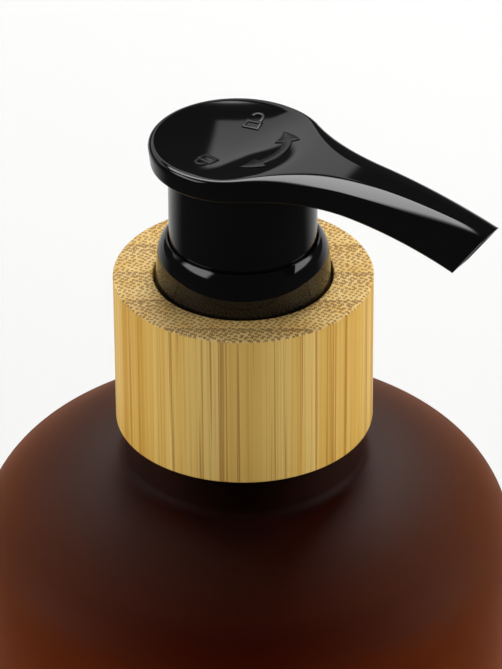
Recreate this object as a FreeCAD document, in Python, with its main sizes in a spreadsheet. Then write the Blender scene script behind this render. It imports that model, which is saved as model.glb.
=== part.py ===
import FreeCAD, Part
import Sketcher
import math
import os
import re

# Soap bottle with a lock-down lotion pump. The origin is the centre of the base, +Z is up
# and the spout points along +X. All sizes are in millimetres.

doc = FreeCAD.newDocument("SoapPump")
sheet = doc.addObject("Spreadsheet::Sheet", "Sizes")

sizes = {
    # glass bottle
    "bodyRadius": 39.0,        # outside of the body
    "bodyHeight": 121.2,       # floor to the start of the shoulder
    "heelRadius": 5.0,         # rounding at the base
    "baseThick": 5.0,          # glass under the soap
    "pushUp": 1.5,             # hollow under the base
    "footWidth": 7.0,          # flat ring that the bottle stands on
    "glassWall": 2.8,
    "shoulderRise": 15.6,      # height of the oval shoulder
    "shoulderArc": 12.3,       # the oval's tighter arc, next to the body
    "neckStep": 4.7,           # plain neck outside the thread's root
    "neckRise": 6.2,
    "neckFillet": 1.2,         # where the neck meets the shoulder
    "finishRise": 16.0,        # threaded part of the neck
    "finishWall": 2.9,         # glass behind the thread
    "neckWall": 4.6,           # glass of the plain neck
    "throatRise": 3.0,         # the throat narrows from below to above the plain neck's top
    "throatDrop": 1.0,
    "threadRadius": 13.7,      # crest of the thread, the 28 mm neck standard
    "threadDepth": 1.2,
    "threadSink": 0.4,         # how far a ridge is rooted in its wall
    "threadPitch": 4.233,      # six turns to the inch
    "threadWidth": 2.3,
    "threadTurns": 1.6,
    "threadStart": 4.6,        # first ridge above the plain neck
    # closure
    "threadGap": 0.2,          # between the two threads, radially
    "capThreadWidth": 2.0,
    "threadPlay": 0.15,        # between the two threads, along the axis
    "capWall": 2.2,
    "capPlate": 1.6,
    "capPlay": 0.1,            # lets the cap turn over the collar's flange
    "sleeveWall": 2.3,
    "sleeveHeight": 23.6,
    "sleeveLip": 2.0,
    "sleeveFit": 0.1,
    "sleeveChamfer": 0.3,
    "capSetBack": 0.2,         # cap ends above the sleeve's lower edge
    # collar, gasket and housing
    "gasketThick": 1.5,
    "gasketInset": 0.2,        # inside the housing's flange
    "housingFlange": 1.4,
    "flangeInset": 0.3,        # housing's flange inside the collar's
    "collarFlange": 1.4,
    "flangeGap": 0.4,          # round the collar's flange in the cap
    "flangeStep": 1.0,         # what the cap's plate holds down
    "collarWeb": 1.0,
    "collarWall": 1.8,
    "collarDraft": 0.3,
    "collarEdgeRise": 3.4,
    "collarRise": 6.2,
    "collarRim": 0.25,
    "collarCurve": 4.2,        # radius of the collar's rounded shoulder
    "collarHoleGap": 0.3,
    "bossWall": 1.0,
    "bossRise": 5.0,
    "stopDepth": 0.9,          # lock stops on the boss
    "stopAngle": 66.0,
    "stopPlace": -45.0,
    "spigotDepth": 3.9,
    "spigotWall": 1.0,
    "spigotFit": 0.1,
    "mouthGap": 1.2,           # round the housing in the bottle's mouth
    "housingWall": 1.0,
    "housingDepth": 43.4,      # top face to the spring's ledge
    "ventRadius": 0.6,
    "ventDrop": 6.0,
    "ballRadius": 2.4,
    "ballBore": 3.0,
    "ballChamber": 4.5,
    "ballSeatGap": 0.02,
    "intakeRadius": 1.7,
    "intakeDepth": 1.0,        # from the ball's seat to the tube's end
    "nozzleWall": 1.86,
    "nozzleCone": 3.0,
    "socketDepth": 8.0,
    "tubeRadius": 2.5,
    "tubeWall": 0.75,
    "tubeFit": 0.04,
    "tubeFloorGap": 3.5,
    # moving pieces
    "slideGap": 0.2,
    "guideGap": 0.08,
    "stemRadius": 3.0,
    "stemWall": 1.4,
    "stemTop": 16.0,           # above the sleeve's top
    "stemBottom": 12.0,        # below the sleeve's top
    "plugSpigot": 3.0,
    "plugWall": 0.7,
    "portRadius": 0.72,
    "plugFlangeGap": 1.5,      # between the plug's flange and the housing
    "plugFlange": 1.2,
    "plugNeckGap": 0.1,
    "pistonTop": 9.4,          # below the sleeve's top
    "pistonHeight": 7.4,
    "pistonWall": 1.22,
    "pistonLip": 0.55,
    "pistonWeb": 1.6,
    "pistonGap": 0.04,
    "cageThick": 1.2,
    "cageHole": 1.0,
    "cageSlot": 3.9,
    "cageSlotWidth": 1.5,
    "springGap": 1.75,         # between the coil and the housing
    "springWire": 0.45,
    "springTurns": 8.0,
    "springPlay": 0.03,
    # actuator
    "skirtWall": 1.2,
    "skirtBottom": 5.7,        # above the sleeve's top
    "discOverhang": 1.85,      # disc outside the skirt
    "discBack": 1.0,           # disc centre behind the stem's axis
    "discTop": 21.3,
    "discBottom": 18.0,
    "ceiling": 19.4,
    "sideDraft": 6.0,
    "topRounding": 1.1,
    "neckArc": 30.0,
    "sideTaper": 6.4,
    "tipHalfWidth": 2.45,
    "spoutReach": 40.3,
    "tipTop": 19.4,
    "tipHeight": 6.9,
    "tipCut": 35.5,
    "peakAlong": 16.0,
    "peakTop": 22.1,
    "riseArc": 60.0,
    "underStart": 11.0,
    "socketWall": 1.4,
    "channelRadius": 1.1,
    "channelTop": 19.6,
    "channelTurn": 14.0,
    "bridgeBottom": 17.2,
    "keyAngle": 22.0,          # two keys in the skirt run between the lock stops
    "keyPlace": 90.0,
    "keyTop": 16.0,
    "outletPast": 1.0,         # liquid path beyond the middle of the slanted end
    "outletDrop": 0.3,
    # cutting
    "overcut": 1.0,            # how far a cut runs past a face, or a joined piece into its neighbour
    "blankOver": 3.0,          # the head's blank beyond its finished ends
    "bridgeLap": 0.5,
}

# Places and sizes that follow from the ones above.
worked = {
    "rootRadius": "threadRadius - threadDepth",
    "mouthRadius": "rootRadius - finishWall",
    "neckRadius": "rootRadius + neckStep",
    "throatRadius": "neckRadius - neckWall",
    "shoulderTop": "bodyHeight + shoulderRise",
    "shoulderRun": "bodyRadius - neckRadius",
    "crownShare": "shoulderRun^2 - 2*shoulderRun*shoulderArc + shoulderRise^2",
    "shoulderCrown": "crownShare/(2*(shoulderRise - shoulderArc))",
    "meetRun": "(shoulderRun - shoulderArc)/(shoulderCrown - shoulderArc)",
    "meetRise": "(shoulderCrown - shoulderRise)/(shoulderCrown - shoulderArc)",
    "meetRadius": "bodyRadius - shoulderArc*(1 - meetRun)",
    "meetHeight": "bodyHeight + shoulderArc*meetRise",
    "innerRadius": "bodyRadius - glassWall",
    "innerMeet": "meetRadius - glassWall*meetRun",
    "innerMeetHeight": "meetHeight - glassWall*meetRise",
    "footInner": "bodyRadius - heelRadius - footWidth",
    "filletRadius": "neckRadius + neckFillet",
    "filletHeight": "shoulderTop - shoulderCrown + sqrt(shoulderCrown^2 - neckFillet^2)",
    "neckTop": "shoulderTop + neckRise",
    "mouth": "neckTop + finishRise",
    "gasketTop": "mouth + gasketThick",
    "housingTop": "gasketTop + housingFlange",
    "flangeTop": "housingTop + collarFlange",
    "plateBottom": "flangeTop + capPlay",
    "plateTop": "plateBottom + capPlate",
    "sleeveTop": "plateTop + sleeveLip",
    "sleeveBottom": "sleeveTop - sleeveHeight",
    "capBore": "threadRadius + threadGap",
    "capRadius": "capBore + capWall",
    "capRidge": "rootRadius + threadGap",
    "capBottom": "sleeveBottom + capSetBack",
    "threadDrop": "0.375*(threadWidth + capThreadWidth) + threadPlay",
    "capThreadPlace": "neckTop + threadStart + threadWidth/2 - threadDrop - capThreadWidth/2",
    "sleeveBore": "capRadius + sleeveFit",
    "sleeveRadius": "sleeveBore + sleeveWall",
    "collarFlangeRadius": "capBore - flangeGap",
    "housingFlangeRadius": "collarFlangeRadius - flangeInset",
    "gasketRadius": "housingFlangeRadius - gasketInset",
    "collarRadius": "collarFlangeRadius - flangeStep",
    "collarEdgeRadius": "collarRadius - collarDraft",
    "collarHole": "collarRadius + collarHoleGap",
    "collarBore": "collarRadius - collarWall",
    "skirtRadius": "collarBore - slideGap",
    "skirtBore": "skirtRadius - skirtWall",
    "stopRadius": "skirtBore - slideGap",
    "bossRadius": "stopRadius - stopDepth",
    "keyRadius": "bossRadius + slideGap",
    "discRadius": "skirtRadius + discOverhang",
    "webTop": "housingTop + collarWeb",
    "guideBore": "stemRadius + guideGap",
    "spigotRadius": "housingBore - spigotFit",
    "spigotBottom": "housingTop - spigotDepth",
    "bossTop": "sleeveTop + bossRise",
    "housingRadius": "mouthRadius - mouthGap",
    "housingBore": "housingRadius - housingWall",
    "ledge": "housingTop - housingDepth",
    "seatTop": "ledge - ballChamber",
    "seatBottom": "seatTop - ballBore + intakeRadius",
    "tubeTop": "seatBottom - intakeDepth",
    "tubeBore": "tubeRadius - tubeWall",
    "nozzleRadius": "tubeRadius + tubeFit + nozzleWall",
    "nozzleBottom": "tubeTop - socketDepth",
    "ballPlace": "seatTop - ballBore + (ballRadius + ballSeatGap)*sqrt(2)",
    "pistonUp": "sleeveTop - pistonTop",
    "pistonDown": "pistonUp - pistonHeight",
    "plugFlangeTop": "pistonDown - plugNeckGap",
    "plugFlangeBottom": "plugFlangeTop - plugFlange",
    "stemEnd": "sleeveTop - stemBottom",
    "lipRadius": "housingBore - pistonGap",
    "lipInner": "lipRadius - pistonLip",
    "stemBore": "stemRadius - stemWall",
    "plugBore": "stemBore - plugWall",
    "plugFlangeRadius": "housingBore - plugFlangeGap",
    "pistonCore": "guideBore + pistonWall",
    "springRadius": "housingBore - springGap - springWire",
    "socketRadius": "stemRadius + socketWall",
    "webMiddle": "pistonUp - pistonHeight/2",
    "cageTop": "ledge + cageThick",
    "springFoot": "cageTop + springWire + springPlay",
    "springHead": "plugFlangeBottom - springWire - springPlay",
    "skirtEnd": "sleeveTop + skirtBottom",
    "discRim": "sleeveTop + discTop",
    "discUnder": "sleeveTop + discBottom",
    "discCeiling": "sleeveTop + ceiling",
    "channelLine": "sleeveTop + channelTop",
    # plan of the head: disc, hollow arcs tangent to it, straight tapering sides
    "armBase": "tipHalfWidth + (spoutReach + discBack)*tan(sideTaper) + neckArc/cos(sideTaper)",
    "armSpan": "discRadius + neckArc",
    "armRoot": "sqrt(armSpan^2*(1 + tan(sideTaper)^2) - armBase^2)",
    "armAlong": "cos(sideTaper)^2*(armBase*tan(sideTaper) + armRoot)",
    "armAside": "armBase - armAlong*tan(sideTaper)",
    "rimAlong": "armAlong*discRadius/armSpan - discBack",
    "rimAside": "armAside*discRadius/armSpan",
    "sideAlong": "armAlong - discBack - neckArc*sin(sideTaper)",
    "sideAside": "armAside - neckArc*cos(sideTaper)",
    "blankEnd": "spoutReach + blankOver",
    "blankHalf": "tipHalfWidth - blankOver*tan(sideTaper)",
    # side view of the spout: hollow arc, crowned arc, slanted end, arched underside
    "crownFall": "peakTop - tipTop",
    "crownRun": "spoutReach - peakAlong",
    "crownArc": "(crownRun^2 + crownFall^2)/(2*crownFall)",
    "crownRise": "peakTop - discTop",
    "riseStart": "peakAlong - sqrt(crownRise*(2*(crownArc + riseArc) - crownRise))",
    "riseShare": "riseArc/(crownArc + riseArc)",
    "riseEnd": "riseStart + riseShare*(peakAlong - riseStart)",
    "riseEndTop": "sleeveTop + discTop + riseShare*crownRise",
    "tipUnder": "sleeveTop + tipTop - tipHeight",
    "tipBack": "spoutReach - tipHeight*tan(tipCut)",
    "underFall": "discUnder - tipUnder",
    "underRun": "tipBack - underStart",
    "underArc": "(underRun^2 + underFall^2)/(2*underFall)",
    "blankTop": "sleeveTop + peakTop + overcut",
    "blankBack": "discBack + discRadius + blankOver",
    # liquid path through the spout, straight and then one bend to the middle of the end
    "outletAlong": "(spoutReach + tipBack)/2 + outletPast",
    "outletLine": "sleeveTop + tipTop - tipHeight/2 - outletDrop",
    "channelRun": "outletAlong - channelTurn",
    "channelFall": "channelLine - outletLine",
    "channelArc": "(channelRun^2 + channelFall^2)/(2*channelFall)",
}

for row, (alias, number) in enumerate(sizes.items(), start=1):
    sheet.set(f"A{row}", alias)
    sheet.set(f"B{row}", str(number))
    sheet.setAlias(f"B{row}", alias)
doc.recompute()


def full(text):
    """The expression with every short name written out as sheet cells."""
    def swap(match):
        word = match.group(0)
        if word in worked:
            return "(" + full(worked[word]) + ")"
        return "Sizes." + word if word in sizes else word
    return re.sub(r"[A-Za-z]\w*", swap, text)


def value(text):
    """What the expression comes to now, for a sketch's starting shape."""
    return float(sheet.evalExpression(full(text).replace("Sizes.", "")))


def bind(thing, path, text):
    thing.setExpression(path, full(text))


def make_body(name):
    body = doc.addObject("PartDesign::Body", name)
    body.Label = name
    return body


def origin_item(body, role):
    return next(item for item in body.Origin.OriginFeatures if item.Role == role)


def make_sketch(body, name, plane, offset="0"):
    sketch = body.newObject("Sketcher::SketchObject", name)
    sketch.AttachmentSupport = (origin_item(body, plane), [""])
    sketch.MapMode = "FlatFace"
    if offset != "0":
        bind(sketch, "AttachmentOffset.Base.z", offset)
    return sketch


def place_point(sketch, curve, end, across, up):
    """Fix one end of a curve at the two expressions, measured from the sketch's origin."""
    for kind, axis, text in (("DistanceX", -2, across), ("DistanceY", -1, up)):
        if text == "0":
            sketch.addConstraint(Sketcher.Constraint("PointOnObject", curve, end, axis))
            continue
        number = value(text)
        index = sketch.addConstraint(Sketcher.Constraint(kind, -1, 1, curve, end, number))
        bind(sketch, f"Constraints[{index}]", text)


def arc_between(start, end, radius):
    """Arc from start to end, turning left for a positive radius and right for a negative."""
    chord = end - start
    half = chord.Length / 2
    left = FreeCAD.Vector(-chord.y, chord.x, 0).normalize()
    reach = math.sqrt(max(radius * radius - half * half, 0))
    centre = start + chord * 0.5 + left * math.copysign(reach, radius)
    first = start if radius > 0 else end
    last = end if radius > 0 else start
    begin = math.atan2(first.y - centre.y, first.x - centre.x)
    finish = math.atan2(last.y - centre.y, last.x - centre.x)
    circle = Part.Circle(centre, FreeCAD.Vector(0, 0, 1), abs(radius))
    return Part.ArcOfCircle(circle, begin, finish)


def draw(sketch, corners, closed=True):
    """Lines and arcs through the corners. A third entry is the radius of the arc that follows."""
    spots = [FreeCAD.Vector(value(c[0]), value(c[1]), 0) for c in corners]
    count = len(corners) if closed else len(corners) - 1
    ends = []
    for index in range(count):
        start = spots[index]
        end = spots[(index + 1) % len(spots)]
        if len(corners[index]) == 3:
            radius = value(corners[index][2])
            curve = sketch.addGeometry(arc_between(start, end, radius), False)
            ends.append((curve, 1, 2) if radius > 0 else (curve, 2, 1))
        else:
            curve = sketch.addGeometry(Part.LineSegment(start, end), False)
            ends.append((curve, 1, 2))
    for index in range(count if closed else count - 1):
        here = ends[index]
        after = ends[(index + 1) % count]
        joint = Sketcher.Constraint("Coincident", here[0], here[2], after[0], after[1])
        sketch.addConstraint(joint)
    for index in range(count):
        place_point(sketch, ends[index][0], ends[index][1], *corners[index][:2])
        if len(corners[index]) == 3:
            text = corners[index][2].lstrip("-")
            limit = Sketcher.Constraint("Radius", ends[index][0], value(text))
            bind(sketch, f"Constraints[{sketch.addConstraint(limit)}]", text)
    if not closed:
        place_point(sketch, ends[-1][0], ends[-1][2], *corners[-1][:2])
    return sketch


def revolve(body, name, corners, cut=False):
    """Turn a profile of (radius, height) corners about the body's Z axis."""
    kind = "PartDesign::Groove" if cut else "PartDesign::Revolution"
    sketch = draw(make_sketch(body, name + "Profile", "XZ_Plane"), corners)
    turned = body.newObject(kind, name)
    turned.Profile = sketch
    turned.ReferenceAxis = (sketch, ["V_Axis"])
    turned.Angle = 360
    return turned


def extrude(body, name, sketch, length, cut=False, both=False, downwards=False):
    feature = body.newObject("PartDesign::Pocket" if cut else "PartDesign::Pad", name)
    feature.Profile = sketch
    bind(feature, "Length", length)
    if both:
        feature.SideType = "Symmetric"
    feature.Reversed = downwards
    return feature


def repeat(body, name, feature, count):
    pattern = body.newObject("PartDesign::PolarPattern", name)
    pattern.Originals = [feature]
    pattern.Axis = (origin_item(body, "Z_Axis"), [""])
    pattern.Angle = 360
    pattern.Occurrences = count
    body.Tip = pattern
    return pattern


def add_thread(body, name, inner, crest, base, start, width):
    """A right-handed ridge from radius base to radius crest, rooted at radius inner."""
    sketch = make_sketch(body, name + "Section", "XZ_Plane")
    draw(sketch, [
        (base, start),
        (crest, f"{start} + {width}*0.25"),
        (crest, f"{start} + {width}*0.75"),
        (base, f"{start} + {width}"),
        (inner, f"{start} + {width}"),
        (inner, start),
    ])
    helix = body.newObject("PartDesign::AdditiveHelix", name)
    helix.Profile = sketch
    helix.ReferenceAxis = (origin_item(body, "Z_Axis"), [""])
    helix.Mode = "pitch-turns-angle"
    bind(helix, "Pitch", "threadPitch")
    bind(helix, "Turns", "threadTurns")
    return helix


def make_bottle():
    body = make_body("bottle")
    revolve(body, "Glass", [
        ("0", "pushUp"),
        ("footInner - pushUp", "pushUp"),
        ("footInner", "0"),
        ("bodyRadius - heelRadius", "0", "heelRadius"),
        ("bodyRadius", "heelRadius"),
        ("bodyRadius", "bodyHeight", "shoulderArc"),
        ("meetRadius", "meetHeight", "shoulderCrown"),
        ("filletRadius", "filletHeight", "-neckFillet"),
        ("neckRadius", "shoulderTop + neckFillet"),
        ("neckRadius", "neckTop"),
        ("rootRadius", "neckTop"),
        ("rootRadius", "mouth"),
        ("mouthRadius", "mouth"),
        ("mouthRadius", "neckTop + throatRise"),
        ("throatRadius", "neckTop - throatDrop"),
        ("throatRadius", "shoulderTop - glassWall"),
        ("neckRadius", "shoulderTop - glassWall", "-(shoulderCrown - glassWall)"),
        ("innerMeet", "innerMeetHeight", "-(shoulderArc - glassWall)"),
        ("innerRadius", "bodyHeight"),
        ("innerRadius", "baseThick + heelRadius", "-heelRadius"),
        ("innerRadius - heelRadius", "baseThick"),
        ("0", "baseThick"),
    ])
    start = "(neckTop + threadStart)"
    add_thread(body, "Thread", "rootRadius - threadSink", "threadRadius", "rootRadius", start, "threadWidth")
    return body


def make_screw_cap():
    body = make_body("screw_cap")
    revolve(body, "Shell", [
        ("capBore", "capBottom"),
        ("capRadius", "capBottom"),
        ("capRadius", "plateTop"),
        ("collarHole", "plateTop"),
        ("collarHole", "plateBottom"),
        ("capBore", "plateBottom"),
    ])
    start = "(capThreadPlace)"
    add_thread(body, "Thread", "capBore + threadSink", "capRidge", "capBore", start, "capThreadWidth")
    return body


def make_bamboo_sleeve():
    body = make_body("bamboo_sleeve")
    revolve(body, "Turned", [
        ("sleeveBore", "sleeveBottom"),
        ("sleeveRadius - sleeveChamfer", "sleeveBottom"),
        ("sleeveRadius", "sleeveBottom + sleeveChamfer"),
        ("sleeveRadius", "sleeveTop - sleeveChamfer"),
        ("sleeveRadius - sleeveChamfer", "sleeveTop"),
        ("collarHole + sleeveChamfer", "sleeveTop"),
        ("collarHole", "sleeveTop - sleeveChamfer"),
        ("collarHole", "plateTop"),
        ("sleeveBore", "plateTop"),
    ])
    return body


def sector(sketch, inner, outer, angle):
    """A closed piece of a ring, centred on the sketch's first axis."""
    side = f"({angle}/2)"
    draw(sketch, [
        (f"{outer}*cos{side}", f"-{outer}*sin{side}", outer),
        (f"{outer}*cos{side}", f"{outer}*sin{side}"),
        (f"{inner}*cos{side}", f"{inner}*sin{side}", f"-{inner}"),
        (f"{inner}*cos{side}", f"-{inner}*sin{side}"),
    ])


def make_lock_collar():
    body = make_body("lock_collar")
    revolve(body, "Collar", [
        ("guideBore", "housingTop"),
        ("spigotRadius - spigotWall", "housingTop"),
        ("spigotRadius - spigotWall", "spigotBottom"),
        ("spigotRadius", "spigotBottom"),
        ("spigotRadius", "housingTop"),
        ("collarFlangeRadius", "housingTop"),
        ("collarFlangeRadius", "flangeTop"),
        ("collarRadius", "flangeTop"),
        ("collarRadius", "sleeveTop"),
        ("collarEdgeRadius", "sleeveTop + collarEdgeRise", "collarCurve"),
        ("collarBore + collarRim", "sleeveTop + collarRise"),
        ("collarBore", "sleeveTop + collarRise"),
        ("collarBore", "webTop"),
        ("bossRadius", "webTop"),
        ("bossRadius", "bossTop"),
        ("bossRadius - bossWall", "bossTop"),
        ("bossRadius - bossWall", "webTop"),
        ("guideBore", "webTop"),
    ])
    sketch = make_sketch(body, "StopPlan", "XY_Plane", "webTop - collarWeb/2")
    bind(sketch, "AttachmentOffset.Rotation.Angle", "stopPlace")
    sector(sketch, "(bossRadius - bossWall/2)", "stopRadius", "stopAngle")
    stop = extrude(body, "Stop", sketch, "bossTop - webTop + collarWeb/2")
    repeat(body, "Stops", stop, 2)
    return body


def make_neck_gasket():
    body = make_body("neck_gasket")
    revolve(body, "Ring", [
        ("housingRadius + slideGap", "mouth"),
        ("gasketRadius", "mouth"),
        ("gasketRadius", "gasketTop"),
        ("housingRadius + slideGap", "gasketTop"),
    ])
    return body


def make_pump_housing():
    body = make_body("pump_housing")
    revolve(body, "Barrel", [
        ("housingBore", "housingTop"),
        ("housingBore", "ledge"),
        ("ballBore", "ledge"),
        ("ballBore", "seatTop"),
        ("intakeRadius", "seatBottom"),
        ("intakeRadius", "tubeTop"),
        ("tubeRadius + tubeFit", "tubeTop"),
        ("tubeRadius + tubeFit", "nozzleBottom"),
        ("nozzleRadius", "nozzleBottom"),
        ("nozzleRadius", "ledge - housingWall - nozzleCone"),
        ("housingRadius", "ledge - housingWall"),
        ("housingRadius", "gasketTop"),
        ("housingFlangeRadius", "gasketTop"),
        ("housingFlangeRadius", "housingTop"),
    ])
    sketch = make_sketch(body, "VentPlan", "XZ_Plane")
    centre = FreeCAD.Vector(0, value("housingTop - ventDrop"), 0)
    circle = Part.Circle(centre, FreeCAD.Vector(0, 0, 1), value("ventRadius"))
    sketch.addGeometry(circle, False)
    place_point(sketch, 0, 3, "0", "housingTop - ventDrop")
    size = sketch.addConstraint(Sketcher.Constraint("Radius", 0, value("ventRadius")))
    bind(sketch, f"Constraints[{size}]", "ventRadius")
    extrude(body, "Vent", sketch, "2*housingRadius + 2*overcut", cut=True, both=True)
    return body


def make_dip_tube():
    body = make_body("dip_tube")
    revolve(body, "Tube", [
        ("tubeBore", "baseThick + tubeFloorGap"),
        ("tubeRadius", "baseThick + tubeFloorGap"),
        ("tubeRadius", "tubeTop"),
        ("tubeBore", "tubeTop"),
    ])
    return body


def make_inlet_ball():
    ball = doc.addObject("Part::Sphere", "inlet_ball")
    ball.Label = "inlet_ball"
    bind(ball, "Radius", "ballRadius")
    bind(ball, "Placement.Base.z", "ballPlace")
    return ball


def make_ball_cage():
    body = make_body("ball_cage")
    revolve(body, "Disc", [
        ("cageHole", "ledge"),
        ("spigotRadius", "ledge"),
        ("spigotRadius", "cageTop"),
        ("cageHole", "cageTop"),
    ])
    sketch = make_sketch(body, "SlotPlan", "XY_Plane", "cageTop + overcut")
    draw(sketch, [
        ("0", "-cageSlotWidth/2"),
        ("cageSlot", "-cageSlotWidth/2"),
        ("cageSlot", "cageSlotWidth/2"),
        ("0", "cageSlotWidth/2"),
    ])
    slot = extrude(body, "Slot", sketch, "cageThick + 2*overcut", cut=True)
    repeat(body, "Slots", slot, 3)
    return body


def make_spring():
    body = make_body("return_spring")
    sketch = make_sketch(body, "WireSection", "XZ_Plane")
    centre = FreeCAD.Vector(value("springRadius"), value("springFoot"), 0)
    sketch.addGeometry(Part.Circle(centre, FreeCAD.Vector(0, 0, 1), value("springWire")), False)
    place_point(sketch, 0, 3, "springRadius", "springFoot")
    size = sketch.addConstraint(Sketcher.Constraint("Radius", 0, value("springWire")))
    bind(sketch, f"Constraints[{size}]", "springWire")
    helix = body.newObject("PartDesign::AdditiveHelix", "Coil")
    helix.Profile = sketch
    helix.ReferenceAxis = (origin_item(body, "Z_Axis"), [""])
    helix.Mode = "height-turns-angle"
    bind(helix, "Height", "springHead - springFoot")
    bind(helix, "Turns", "springTurns")
    return body


def make_piston():
    body = make_body("piston")
    revolve(body, "Seal", [
        ("guideBore", "pistonDown"),
        ("pistonCore", "pistonDown"),
        ("pistonCore", "webMiddle - pistonWeb/2"),
        ("lipInner", "webMiddle - pistonWeb/2"),
        ("lipInner", "pistonDown + pistonWeb/2"),
        ("lipRadius", "pistonDown + pistonWeb/2"),
        ("lipRadius", "pistonUp"),
        ("lipInner", "pistonUp"),
        ("lipInner", "webMiddle + pistonWeb/2"),
        ("pistonCore", "webMiddle + pistonWeb/2"),
        ("pistonCore", "pistonUp - pistonWeb/2"),
        ("guideBore", "pistonUp - pistonWeb/2"),
    ])
    return body


def make_stem():
    body = make_body("stem")
    revolve(body, "Tube", [
        ("stemBore", "stemEnd"),
        ("stemRadius", "stemEnd"),
        ("stemRadius", "sleeveTop + stemTop"),
        ("stemBore", "sleeveTop + stemTop"),
    ])
    return body


def make_stem_plug():
    body = make_body("stem_plug")
    revolve(body, "Plug", [
        ("0", "plugFlangeBottom"),
        ("plugFlangeRadius", "plugFlangeBottom"),
        ("plugFlangeRadius", "plugFlangeTop"),
        ("stemRadius", "plugFlangeTop"),
        ("stemRadius", "stemEnd"),
        ("stemBore", "stemEnd"),
        ("stemBore", "stemEnd + plugSpigot"),
        ("plugBore", "stemEnd + plugSpigot"),
        ("plugBore", "plugFlangeTop + plugBore"),
        ("0", "plugFlangeTop + plugBore"),
    ])
    sketch = make_sketch(body, "PortPlan", "XZ_Plane")
    centre = FreeCAD.Vector(0, value("plugFlangeTop + 2*plugBore"), 0)
    sketch.addGeometry(Part.Circle(centre, FreeCAD.Vector(0, 0, 1), value("portRadius")), False)
    place_point(sketch, 0, 3, "0", "plugFlangeTop + 2*plugBore")
    size = sketch.addConstraint(Sketcher.Constraint("Radius", 0, value("portRadius")))
    bind(sketch, f"Constraints[{size}]", "portRadius")
    extrude(body, "Ports", sketch, "2*stemRadius + 2*overcut", cut=True, both=True)
    return body


def top_edges(shape):
    """Names of the edges where the head's top meets its sides, the slanted end left out."""
    names = []
    for number, edge in enumerate(shape.Edges, start=1):
        middle = edge.valueAt((edge.FirstParameter + edge.LastParameter)/2)
        normals = []
        for face in shape.ancestorsOfType(edge, Part.Face):
            across, along = face.Surface.parameter(middle)
            normals.append(face.normalAt(across, along))
        tilts = sorted(normal.z for normal in normals)
        if tilts[-1] > 0.8 and -0.3 < tilts[0] < 0.3:
            names.append(f"Edge{number}")
    return names


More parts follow.
